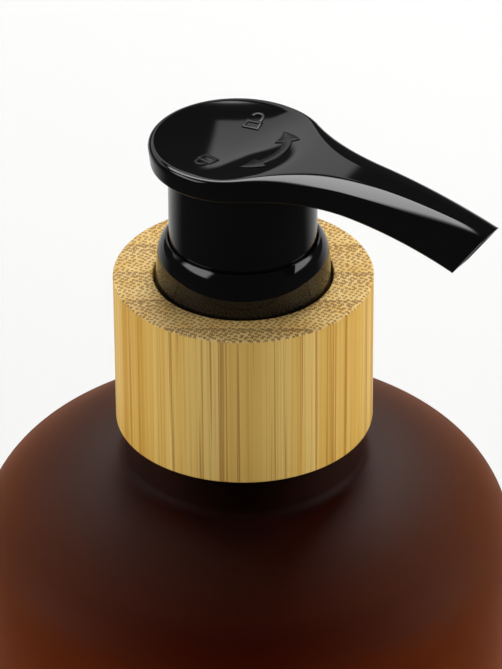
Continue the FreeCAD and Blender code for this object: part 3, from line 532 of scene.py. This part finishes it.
def bambooMaterial():
    # laminated moso bamboo, turned and sanded: fibres run up the sleeve, their ends dot its top
    b = bamboo
    made, tree, place = newMaterial("sandedBamboo")
    clear, full = (0, 0, 0, 1), (1, 1, 1, 1)
    fibre = addNode(tree, "ShaderNodeMapping", {
        "Vector": place, "Scale": (perMm, perMm, perMm * b["stretch"])})
    height = addNode(tree, "ShaderNodeSeparateXYZ", {"Vector": place})
    top = addNode(tree, "ShaderNodeMapRange", {
        "Value": height.outputs["Z"],
        "From Min": (sleeveTop - b["topFrom"]) * mm, "From Max": (sleeveTop - b["topFull"]) * mm})
    # glued strips: each has its own tone, and its bundles are finer towards one side
    across = addNode(tree, "ShaderNodeMapping", {
        "Vector": place, "Scale": (perMm / b["strip"],) * 3,
        "Rotation": (0, 0, math.radians(b["stripTurn"]))})
    sideways = addNode(tree, "ShaderNodeSeparateXYZ", {"Vector": across.outputs[0]})
    strip = addNode(tree, "ShaderNodeMath", {0: sideways.outputs["X"]}, operation="FLOOR")
    within = addNode(tree, "ShaderNodeMath", {0: sideways.outputs["X"]}, operation="FRACT")
    tone = addNode(tree, "ShaderNodeTexWhiteNoise", {"W": strip.outputs[0]}, noise_dimensions="1D")
    broad = addNode(tree, "ShaderNodeTexNoise", {
        "Vector": fibre.outputs[0], "Scale": 0.3, "Detail": 3.0, "Roughness": 0.6})
    mixedTone = addNode(tree, "ShaderNodeMix", {
        "Factor": 0.15, "A": broad.outputs["Fac"], "B": tone.outputs["Value"]}, data_type="FLOAT")
    lines = addNode(tree, "ShaderNodeTexNoise", {
        "Vector": fibre.outputs[0], "Scale": 1.9, "Detail": 2.0, "Roughness": 0.6})
    fine = addNode(tree, "ShaderNodeTexNoise", {
        "Vector": fibre.outputs[0], "Scale": 3.4, "Detail": 2.0, "Roughness": 0.6})
    base = rampNode(tree, mixedTone.outputs[0], [
        (0.3, colour(b["dark"])), (0.46, colour(b["honey"])), (0.62, colour(b["pale"]))])
    # amber lines where a dark bundle lies in the surface
    streak = rampNode(tree, lines.outputs["Fac"], [(0.57, clear), (0.63, full)])
    hair = rampNode(tree, fine.outputs["Fac"], [(0.5, clear), (0.72, full)])
    hairAmount = addNode(tree, "ShaderNodeMath", {0: hair.outputs["Color"], 1: 0.45}, operation="MULTIPLY")
    haired = addNode(tree, "ShaderNodeMix", {
        "Factor": hairAmount.outputs[0], "A": base.outputs["Color"], "B": colour(b["hair"])},
        data_type="RGBA")
    streakAmount = addNode(tree, "ShaderNodeMath", {0: streak.outputs["Color"], 1: 0.7}, operation="MULTIPLY")
    side = addNode(tree, "ShaderNodeMix", {
        "Factor": streakAmount.outputs[0], "A": haired.outputs[2], "B": colour(b["line"])}, data_type="RGBA")
    # fibre ends: brown rings round paler cores
    ends = addNode(tree, "ShaderNodeTexVoronoi", {
        "Vector": fibre.outputs[0], "Scale": 1 / b["bundleSpacing"], "Randomness": 0.45},
        feature="F1", voronoi_dimensions="2D")
    size = addNode(tree, "ShaderNodeMapRange", {
        "Value": within.outputs[0], "To Min": 0.85, "To Max": 1.3})
    sized = addNode(tree, "ShaderNodeMath", {
        0: ends.outputs["Distance"], 1: size.outputs[0]}, operation="MULTIPLY")
    ring = rampNode(tree, sized.outputs[0], [
        (0.08, (0.25, 0.25, 0.25, 1)), (0.2, full), (0.31, full), (0.43, clear)])
    endBase = rampNode(tree, mixedTone.outputs[0], [
        (0.3, colour(b["endHoney"])), (0.55, colour(b["endPale"]))])
    ringAmount = addNode(tree, "ShaderNodeMath", {0: ring.outputs["Color"], 1: 0.85}, operation="MULTIPLY")
    dotted = addNode(tree, "ShaderNodeMix", {
        "Factor": ringAmount.outputs[0], "A": endBase.outputs["Color"], "B": colour(b["endDark"])},
        data_type="RGBA")
    seam = rampNode(tree, within.outputs[0], [(0.0, full), (0.1, clear)])
    seamAmount = addNode(tree, "ShaderNodeMath", {0: seam.outputs["Color"], 1: 0.35}, operation="MULTIPLY")
    capped = addNode(tree, "ShaderNodeMix", {
        "Factor": seamAmount.outputs[0], "A": dotted.outputs[2], "B": colour(b["endDark"])}, data_type="RGBA")
    mixed = addNode(tree, "ShaderNodeMix", {
        "Factor": top.outputs[0], "A": side.outputs[2], "B": capped.outputs[2]}, data_type="RGBA")
    bump = addNode(tree, "ShaderNodeBump", {
        "Height": fine.outputs["Fac"], "Strength": 0.2, "Distance": 0.05 * mm})
    shader = addNode(tree, "ShaderNodeBsdfPrincipled", {
        "Base Color": mixed.outputs[2], "Roughness": 0.5, "IOR": 1.5, "Normal": bump.outputs[0],
        "Specular IOR Level": 0.35})
    finishMaterial(tree, shader)
    return made


# the high facing colour and the neck colour are painted shade, the turned colour is painted light
glass = dict(lowFacing="BC6014", shadedHighFacing="4A2209", paintedShadeLow=62.0, paintedShadeHigh=132.0, turned="B86A1C",
             neck="2C0F07", neckShadeLow=131.0, neckShadeHigh=138.0, skin="4A403C", rough=0.62)


def glassMaterial():
    # acid-frosted amber soda-lime glass: a satin skin that scatters what passes through;
    # painted shade darkens it towards the neck, and painted light makes it paler where it turns away
    g = glass
    made, tree, place = newMaterial("frostedAmberGlass")
    grain = addNode(tree, "ShaderNodeTexNoise", {"Vector": place, "Scale": 2.2 * perMm, "Detail": 2.0})
    height = addNode(tree, "ShaderNodeSeparateXYZ", {"Vector": place})
    # painted shade: the facing colour darkens from the body's middle up towards the neck
    rise = addNode(tree, "ShaderNodeMapRange", {
        "Value": height.outputs["Z"], "From Min": g["paintedShadeLow"] * mm, "From Max": g["paintedShadeHigh"] * mm},
        interpolation_type="SMOOTHSTEP")
    # painted shade: a darker band round the neck
    neck = addNode(tree, "ShaderNodeMapRange", {
        "Value": height.outputs["Z"], "From Min": g["neckShadeLow"] * mm, "From Max": g["neckShadeHigh"] * mm})
    # painted light: the glass is paler where it turns away
    turned = addNode(tree, "ShaderNodeLayerWeight", {"Blend": 0.5})
    facing = addNode(tree, "ShaderNodeMix", {
        "Factor": rise.outputs[0], "A": colour(g["lowFacing"]), "B": colour(g["shadedHighFacing"])},
        data_type="RGBA")
    body = addNode(tree, "ShaderNodeMix", {
        "Factor": turned.outputs["Facing"], "A": facing.outputs[2], "B": colour(g["turned"])},
        data_type="RGBA")
    shade = addNode(tree, "ShaderNodeMix", {
        "Factor": neck.outputs[0], "A": body.outputs[2], "B": colour(g["neck"])}, data_type="RGBA")
    bump = addNode(tree, "ShaderNodeBump", {
        "Height": grain.outputs["Fac"], "Strength": 0.12, "Distance": 0.03 * mm})
    shader = addNode(tree, "ShaderNodeBsdfPrincipled", {
        "Base Color": shade.outputs[2], "Roughness": g["rough"], "IOR": 1.45,
        "Specular Tint": colour(g["skin"]), "Transmission Weight": 1.0, "Normal": bump.outputs[0]})
    finishMaterial(tree, shader)
    return made


def glossMaterial(name, shade, rough):
    # moulded ABS from a polished tool: a deep gloss with a very slight waviness
    made, tree, place = newMaterial(name)
    wave = addNode(tree, "ShaderNodeTexNoise", {"Vector": place, "Scale": 0.25 * perMm, "Detail": 1.0})
    bump = addNode(tree, "ShaderNodeBump", {
        "Height": wave.outputs["Fac"], "Strength": 0.05, "Distance": 0.02 * mm})
    shader = addNode(tree, "ShaderNodeBsdfPrincipled", {
        "Base Color": colour(shade), "Roughness": rough, "IOR": 1.5, "Normal": bump.outputs[0]})
    finishMaterial(tree, shader)
    return made


def plasticMaterial(name, low, high, rough, scatter):
    # natural polypropylene and polyethylene: milky, satin, slightly clouded
    made, tree, place = newMaterial(name)
    cloud = addNode(tree, "ShaderNodeTexNoise", {"Vector": place, "Scale": 0.12 * perMm, "Detail": 3.0})
    grain = addNode(tree, "ShaderNodeTexNoise", {"Vector": place, "Scale": 3.0 * perMm, "Detail": 1.0})
    shade = rampNode(tree, cloud.outputs["Fac"], [(0.3, colour(low)), (0.7, colour(high))])
    bump = addNode(tree, "ShaderNodeBump", {
        "Height": grain.outputs["Fac"], "Strength": 0.1, "Distance": 0.02 * mm})
    shader = addNode(tree, "ShaderNodeBsdfPrincipled", {
        "Base Color": shade.outputs["Color"], "Roughness": rough, "IOR": 1.49, "Normal": bump.outputs[0],
        "Subsurface Weight": scatter, "Subsurface Scale": 1.0 * mm})
    finishMaterial(tree, shader)
    return made


def steelMaterial(name, shade, rough):
    # stainless steel: drawn wire shows lines along its draw, a ball is polished
    made, tree, place = newMaterial(name)
    lines = addNode(tree, "ShaderNodeTexNoise", {"Vector": place, "Scale": 6.0 * perMm, "Detail": 2.0})
    spread = addNode(tree, "ShaderNodeMapRange", {
        "Value": lines.outputs["Fac"], "To Min": rough * 0.8, "To Max": rough * 1.3})
    shader = addNode(tree, "ShaderNodeBsdfPrincipled", {
        "Base Color": colour(shade), "Metallic": 1.0, "Roughness": spread.outputs[0]})
    finishMaterial(tree, shader)
    return made


def paint(thing, material):
    thing.data.materials.clear()
    thing.data.materials.append(material)


def paintNodes(materials):
    for name, key in (("screw_cap", "black"), ("neck_gasket", "foam"), ("pump_housing", "natural"),
                      ("dip_tube", "natural"), ("inlet_ball", "ball"), ("ball_cage", "white"),
                      ("piston", "white"), ("stem", "white"), ("stem_plug", "white")):
        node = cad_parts[name]
        for slot in range(max(len(node.material_slots), 1)):
            if node.material_slots:
                node.material_slots[slot].material = materials[key]
            else:
                node.data.materials.append(materials[key])


studio = dict(floorRadius=4.0, floor="DADAD9", world="FFFFFF", backdrop=0.97, frontFill=0.26, backFill=0.52,
              ambient=0.03, ground=0.65, softboxDistance=1.2,
              lens=250.9, place=(0.3074, -0.4716, 0.5119), aim=(0.0035, -0.0035, 0.1596), roll=-0.366)


def makeFloor():
    mesh = bmesh.new()
    bmesh.ops.create_circle(mesh, cap_ends=True, radius=studio["floorRadius"], segments=96)
    data = bpy.data.meshes.new("floor")
    mesh.to_mesh(data)
    mesh.free()
    floor = bpy.data.objects.new("floor", data)
    bpy.context.scene.collection.objects.link(floor)
    made, tree, place = newMaterial("paleFloor")
    shader = addNode(tree, "ShaderNodeBsdfPrincipled", {
        "Base Color": colour(studio["floor"]), "Roughness": 0.9})
    finishMaterial(tree, shader)
    data.materials.append(made)
    floor.visible_glossy = False


# what gloss mirrors, in degrees: heights over the horizon, and turns from straight behind the object;
# softness is for the low, high, left and right edges
panels = (
    dict(low=19.5, high=39.5, left=-70.0, right=2.6, strength=0.8, softness=(0.02, 0.008, 0.1, 0.008)),
    dict(low=26.0, high=48.0, left=-128.0, right=-84.0, strength=3.5, softness=(0.05, 0.03, 0.08, 0.08)),
    dict(low=20.0, high=45.0, left=70.0, right=112.0, strength=3.0, softness=(0.05, 0.05, 0.08, 0.08)),
    dict(low=46.0, high=74.0, left=-60.0, right=16.0, strength=6.0, softness=(0.01, 0.03, 0.08, 0.04)),
)


def makeWorld():
    world = bpy.data.worlds.new("studio")
    bpy.context.scene.world = world
    world.use_nodes = True
    tree = world.node_tree
    tree.nodes.clear()
    rays = addNode(tree, "ShaderNodeLightPath")
    # what gloss mirrors: a dark room with a panel behind the object, one on each side, one overhead,
    # and a pale floor beyond
    front = Vector((studio["place"][0], studio["place"][1], 0)).normalized()
    right = Vector((-front.y, front.x, 0))
    ray = addNode(tree, "ShaderNodeTexCoord").outputs["Generated"]
    away, aside = (addNode(tree, "ShaderNodeVectorMath", {0: ray, 1: way}, operation="DOT_PRODUCT")
                   .outputs["Value"] for way in (-front, right))
    lift = addNode(tree, "ShaderNodeSeparateXYZ", {"Vector": ray}).outputs["Z"]
    turn = addNode(tree, "ShaderNodeMath", {0: aside, 1: away}, operation="ARCTAN2").outputs[0]

    def edge(value, low, high):
        return addNode(tree, "ShaderNodeMapRange", {
            "Value": value, "From Min": low, "From Max": high}, interpolation_type="SMOOTHSTEP").outputs[0]

    def both(first, second):
        return addNode(tree, "ShaderNodeMath", {0: first, 1: second}, operation="MULTIPLY").outputs[0]

    def between(value, low, high, soft):
        return both(edge(value, low - soft[0], low + soft[0]), edge(value, high + soft[1], high - soft[1]))

    def plus(first, second):
        return addNode(tree, "ShaderNodeMath", {0: first, 1: second}, operation="ADD").outputs[0]

    total = studio["ambient"]
    for panel in panels:
        low, high = (math.sin(math.radians(panel[end])) for end in ("low", "high"))
        left, rightEnd = (math.radians(panel[end]) for end in ("left", "right"))
        area = both(between(lift, low, high, panel["softness"][:2]),
                    between(turn, left, rightEnd, panel["softness"][2:]))
        total = plus(both(area, panel["strength"]), total)
    total = plus(both(both(edge(lift, 0.02, -0.02), edge(away, 0.25, 0.9)), studio["ground"]), total)
    fill = addNode(tree, "ShaderNodeMapRange", {
        "Value": away, "From Min": -0.6, "From Max": 0.6, "To Min": studio["frontFill"],
        "To Max": studio["backFill"]}).outputs[0]
    seen = addNode(tree, "ShaderNodeMix", {
        "Factor": rays.outputs["Is Camera Ray"], "A": fill, "B": studio["backdrop"]}).outputs[0]
    bright = addNode(tree, "ShaderNodeBackground", {"Color": colour(studio["world"]), "Strength": seen})
    mirrored = addNode(tree, "ShaderNodeBackground", {"Color": colour(studio["world"]), "Strength": total})
    chosen = addNode(tree, "ShaderNodeMath", {
        0: rays.outputs["Is Glossy Ray"], 1: rays.outputs["Is Transmission Ray"]}, operation="SUBTRACT")
    chosen.use_clamp = True
    mixed = addNode(tree, "ShaderNodeMixShader", {"Fac": chosen.outputs[0]})
    tree.links.new(bright.outputs[0], mixed.inputs[1])
    tree.links.new(mirrored.outputs[0], mixed.inputs[2])
    world.cycles.sampling_method = "NONE"       # so that every ray sees its own side of the mix
    addNode(tree, "ShaderNodeOutputWorld", {"Surface": mixed.outputs[0]})


def addSoftbox(name, azimuth, elevation, size, radiance):
    # azimuth 0 is in front, at the camera's side, and 180 behind the object; gloss mirrors the world instead
    target = Vector((0, 0, sleeveTop * mm))
    front = Vector((studio["place"][0], studio["place"][1], 0)).normalized()
    turned = Matrix.Rotation(math.radians(azimuth), 3, "Z") @ front
    up = math.radians(elevation)
    place = target + (turned * math.cos(up) + Vector((0, 0, math.sin(up)))) * studio["softboxDistance"]
    data = bpy.data.lights.new(name, "AREA")
    data.shape = "SQUARE"
    data.size = size
    data.energy = radiance * math.pi * size ** 2
    made = bpy.data.objects.new(name, data)
    made.location = place
    made.rotation_mode = "QUATERNION"
    made.rotation_quaternion = (target - place).to_track_quat("-Z", "Y")
    made.visible_camera = False
    made.visible_glossy = False
    bpy.context.scene.collection.objects.link(made)


def makeCamera():
    data = bpy.data.cameras.new("camera")
    data.lens = studio["lens"]
    data.sensor_width = 36
    data.clip_start = 0.01
    camera = bpy.data.objects.new("camera", data)
    place = Vector(studio["place"])
    camera.location = place
    look = (Vector(studio["aim"]) - place).to_track_quat("-Z", "Y")
    camera.rotation_mode = "QUATERNION"
    camera.rotation_quaternion = look @ Matrix.Rotation(math.radians(studio["roll"]), 3, "Z").to_quaternion()
    bpy.context.scene.collection.objects.link(camera)
    bpy.context.scene.camera = camera


black = glossMaterial("glossBlackAbs", "0B0B0C", 0.05)
markBlack = glossMaterial("satinBlackAbs", "080808", 0.32)
materials = dict(
    black=black,
    natural=plasticMaterial("naturalPolypropylene", "D5D4CC", "DEDDD6", 0.42, 0.3),
    white=plasticMaterial("whitePolyethylene", "E2E2E0", "EAEAE8", 0.4, 0.2),
    foam=plasticMaterial("foamedPolyethylene", "DAD9D3", "E6E5E0", 0.7, 0.1),
    wire=steelMaterial("stainlessWire", "B9B9BB", 0.25),
    ball=steelMaterial("polishedSteel", "D6D6D8", 0.08),
)
paintNodes(materials)
paint(makeSpring(), materials["wire"])
paint(makeBottle(), glassMaterial())
print("bottle made")
paint(makeSleeve(), bambooMaterial())
print("sleeve made")
paint(makeCollar(), black)
paint(makeHead(), black)
paint(makeMarks(), markBlack)
print("pump made")
makeFloor()
makeWorld()
addSoftbox("leftSoftbox", -84, 8, 0.7, 4.9)
addSoftbox("rightSoftbox", 84, 8, 0.7, 5.8)
addSoftbox("backSoftbox", 168, 46, 0.6, 12.0)
bpy.context.scene.view_settings.view_transform = "Standard"
makeCamera()
print("studio made")
